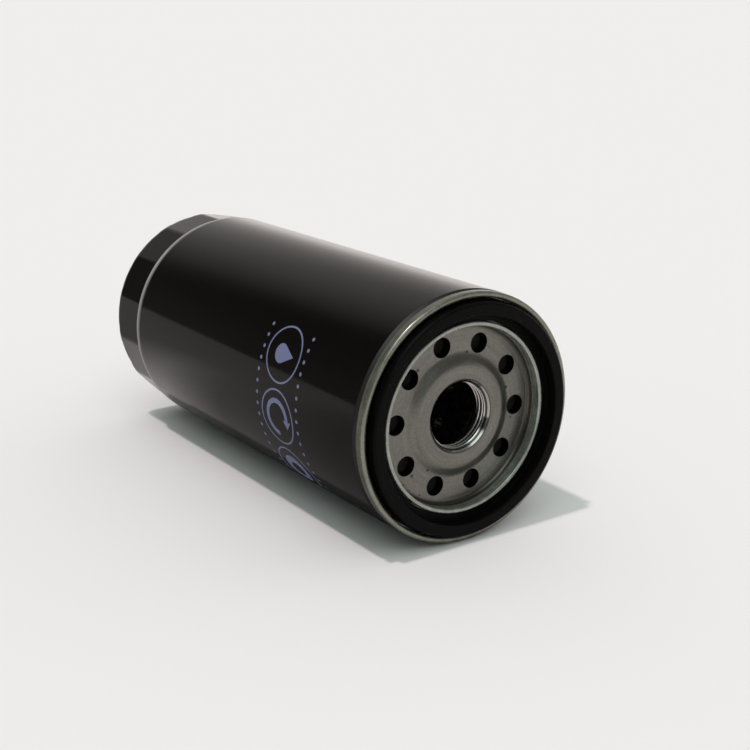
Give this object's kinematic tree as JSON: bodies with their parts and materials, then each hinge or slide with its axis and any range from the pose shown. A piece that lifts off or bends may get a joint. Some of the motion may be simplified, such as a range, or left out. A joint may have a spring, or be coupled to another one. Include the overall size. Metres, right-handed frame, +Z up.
{
  "type": "oil filter",
  "caption": "Spin-on oil filter: black drawn can with wrench flats, seamed lid with a square gasket, threaded base plate with oil holes, and a pleated element with its valves.",
  "frame": {"origin": "on the filter's axis, where the full thread starts behind the chamfer of the base plate's mouth", "axes": "+X along the axis out of the open end, +Z up with the filter lying on its side"},
  "size_m": [0.2379, 0.108, 0.108],
  "materials": {
    "black_paint": "gloss black paint",
    "zinc_sheet": "zinc-plated sheet, satin",
    "plate_steel": "bare pressed plate, dull",
    "gasket_rubber": "matte moulded rubber",
    "valve_rubber": "matte moulded rubber",
    "seam_compound": "cured sealing compound",
    "tinned_sheet": "tinned sheet, satin",
    "spring_steel": "oiled spring wire",
    "filter_paper": "resin-cured pleated paper",
    "potting_resin": "cast resin",
    "band_roving": "resin-soaked roving"
  },
  "bodies": {
    "housing": {"can": "black_paint", "seaming_lid": "zinc_sheet", "seam_sealant": "seam_compound", "tapping_plate": "plate_steel", "sealing_gasket": "gasket_rubber", "support_spring": "spring_steel"},
    "element": {"front_end_cap": "tinned_sheet", "front_potting": "potting_resin", "media_pack": "filter_paper", "pleat_clip": "tinned_sheet", "pleat_bands": "band_roving", "centre_tube": "tinned_sheet", "rear_potting": "potting_resin", "rear_end_cap": "tinned_sheet", "neck_seal": "valve_rubber", "bypass_cage": "tinned_sheet", "bypass_spring": "spring_steel", "spring_cup": "tinned_sheet", "anti_drain_spring": "spring_steel"},
    "bypass_valve": {"bypass_disc": "tinned_sheet", "bypass_seal": "valve_rubber"},
    "anti_drain_valve": {"anti_drain_disc": "valve_rubber", "anti_drain_backing": "tinned_sheet"}
  },
  "joints": [
    {"name": "element_float", "type": "slide", "parent": "housing", "child": "element", "axis": [1, 0, 0], "range_m": [-0.003, 0], "stiffness_N_per_m": 8000, "deforming": ["support_spring"]},
    {"name": "anti_drain_slide", "type": "slide", "parent": "housing", "child": "anti_drain_valve", "axis": [1, 0, 0], "range_m": [-0.0025, 0], "stiffness_N_per_m": 300, "deforming": ["anti_drain_spring"]},
    {"name": "bypass_slide", "type": "slide", "parent": "element", "child": "bypass_valve", "axis": [1, 0, 0], "range_m": [0, 0.004], "stiffness_N_per_m": 2000, "deforming": ["bypass_spring"]}
  ]
}
